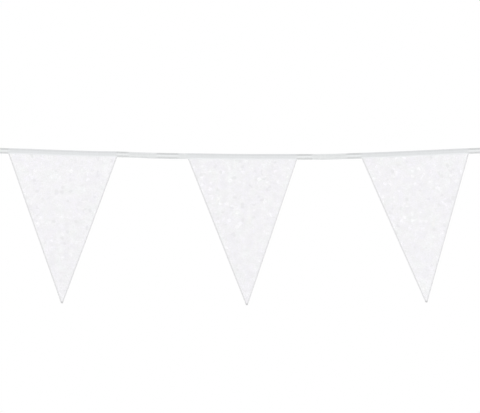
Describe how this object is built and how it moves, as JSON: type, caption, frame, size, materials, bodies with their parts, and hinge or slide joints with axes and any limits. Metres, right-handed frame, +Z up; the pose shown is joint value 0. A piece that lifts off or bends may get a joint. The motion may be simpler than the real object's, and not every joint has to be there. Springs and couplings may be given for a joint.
{
  "type": "glitter bunting",
  "caption": "Length of white glitter bunting: long pointed pennants, sparkling on the front, held by their top edges in a narrow folded tape that sags a little.",
  "frame": {"origin": "on the tape's folded top edge, above the middle pennant, where the tape hangs lowest", "axes": "+X along the tape to the right as seen from the front, +Y to the back, +Z up"},
  "size_m": [0.961, 0.011, 0.2895],
  "materials": {
    "tape": "white woven tape, slightly shiny",
    "glitter_sheet": "white sheet coated with fine white glitter on its front"
  },
  "bodies": {
    "root": {"tape": "tape", "pennant_left": "glitter_sheet", "pennant_middle": "glitter_sheet", "pennant_right": "glitter_sheet"}
  },
  "joints": []
}
